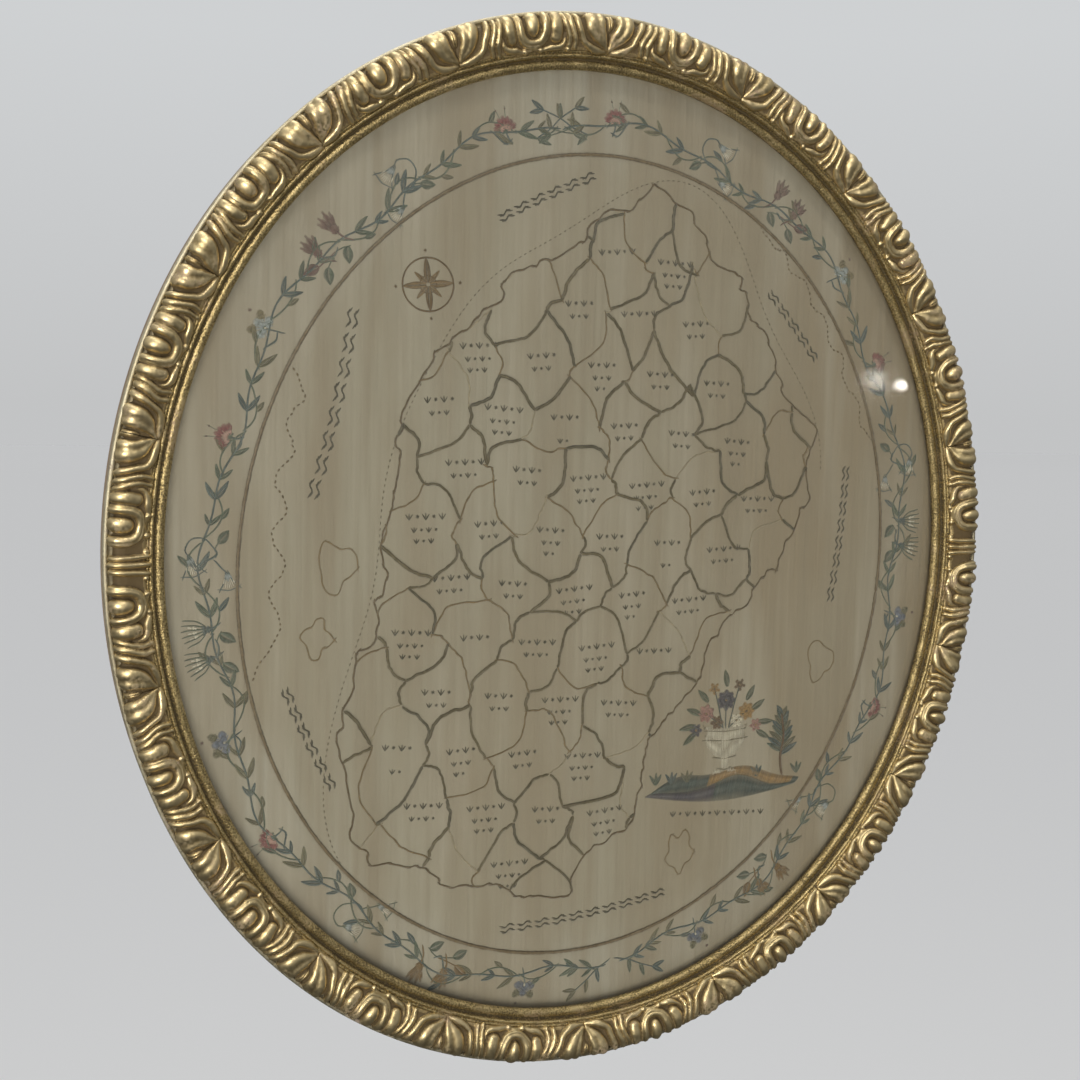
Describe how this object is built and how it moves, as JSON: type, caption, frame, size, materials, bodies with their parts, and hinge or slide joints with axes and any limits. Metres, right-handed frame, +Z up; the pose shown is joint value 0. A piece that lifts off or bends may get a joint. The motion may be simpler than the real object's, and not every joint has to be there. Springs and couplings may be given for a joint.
{
  "type": "embroidered silk map in an oval gilt frame",
  "caption": "Oval of stitched silk with a map and a flower border, stretched flat behind glass in an oval gilt frame with relief ornament.",
  "frame": {"origin": "centre of the oval on the plane of the back that lies against the wall", "axes": "+X to the viewer's right, +Z up the picture along the oval's long axis, -Y out of the picture towards the viewer"},
  "size_m": [0.484, 0.0212, 0.54],
  "materials": {
    "silk": "plain-woven silk, taupe with soft streaks, stitched in coloured silk and chenille",
    "glass": "thin clear flat glass",
    "board": "plain planed softwood board",
    "gilt": "warm worn gold leaf over pressed composition and gesso on wood",
    "sanded_gilt": "gold leaf over fine sand on wood"
  },
  "bodies": {
    "root": {"silk_sheet": "silk", "glass_pane": "glass", "backboard": "board", "frame_moulding": "gilt", "sight_slip": "sanded_gilt", "ornament_01": "gilt", "ornament_02": "gilt", "ornament_03": "gilt", "ornament_04": "gilt", "ornament_05": "gilt", "ornament_06": "gilt", "ornament_07": "gilt", "ornament_08": "gilt", "ornament_09": "gilt", "ornament_10": "gilt", "ornament_11": "gilt", "ornament_12": "gilt", "ornament_13": "gilt", "ornament_14": "gilt", "ornament_15": "gilt", "ornament_16": "gilt", "ornament_17": "gilt", "ornament_18": "gilt"}
  },
  "joints": []
}
